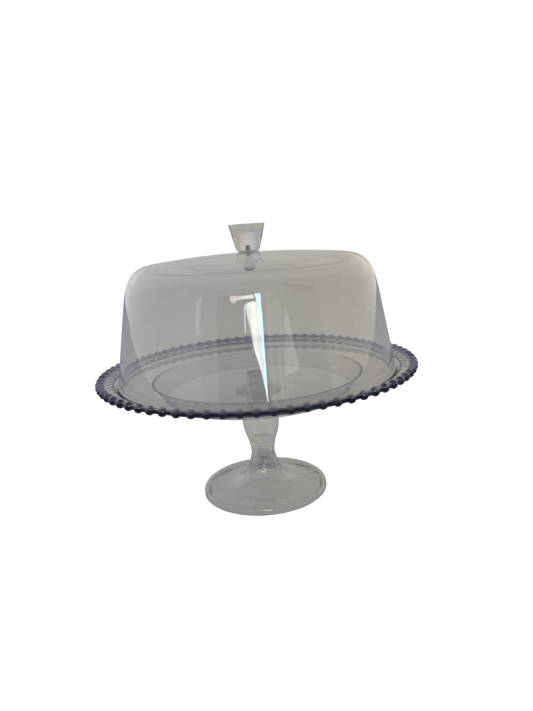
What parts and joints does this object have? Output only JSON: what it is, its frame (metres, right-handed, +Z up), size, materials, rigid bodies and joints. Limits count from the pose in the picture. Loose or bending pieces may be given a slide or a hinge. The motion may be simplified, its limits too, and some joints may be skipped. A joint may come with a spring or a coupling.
{
  "type": "cake stand with dome",
  "caption": "Footed clear plastic cake plate with a beaded rim, under a clear lift-off dome with a tapered knob.",
  "frame": {"origin": "centre of the circle that the pedestal stands on, at table height", "axes": "+Z up along the stand's axis of symmetry; +X and +Y each run through the centre of a bead"},
  "size_m": [0.32, 0.32, 0.2757],
  "materials": {
    "plate_clear": "clear moulded acrylic, polished, with a faint blue tint where it is thick",
    "pedestal_clear": "clear moulded acrylic, polished",
    "dome_clear": "clear moulded acrylic, polished, lightly scratched",
    "knob_clear": "clear moulded acrylic, polished",
    "gasket_soft": "translucent soft washer",
    "washer_steel": "plated steel",
    "screw_steel": "plated steel"
  },
  "bodies": {
    "stand": {"pedestal": "pedestal_clear", "plate": "plate_clear"},
    "dome": {"dome": "dome_clear", "knob": "knob_clear", "knob_gasket": "gasket_soft", "knob_washer": "washer_steel", "knob_screw": "screw_steel"}
  },
  "joints": [
    {"name": "dome_lift", "type": "slide", "parent": "stand", "child": "dome", "axis": [0, 0, 1], "range_m": [0, 0.2]}
  ]
}
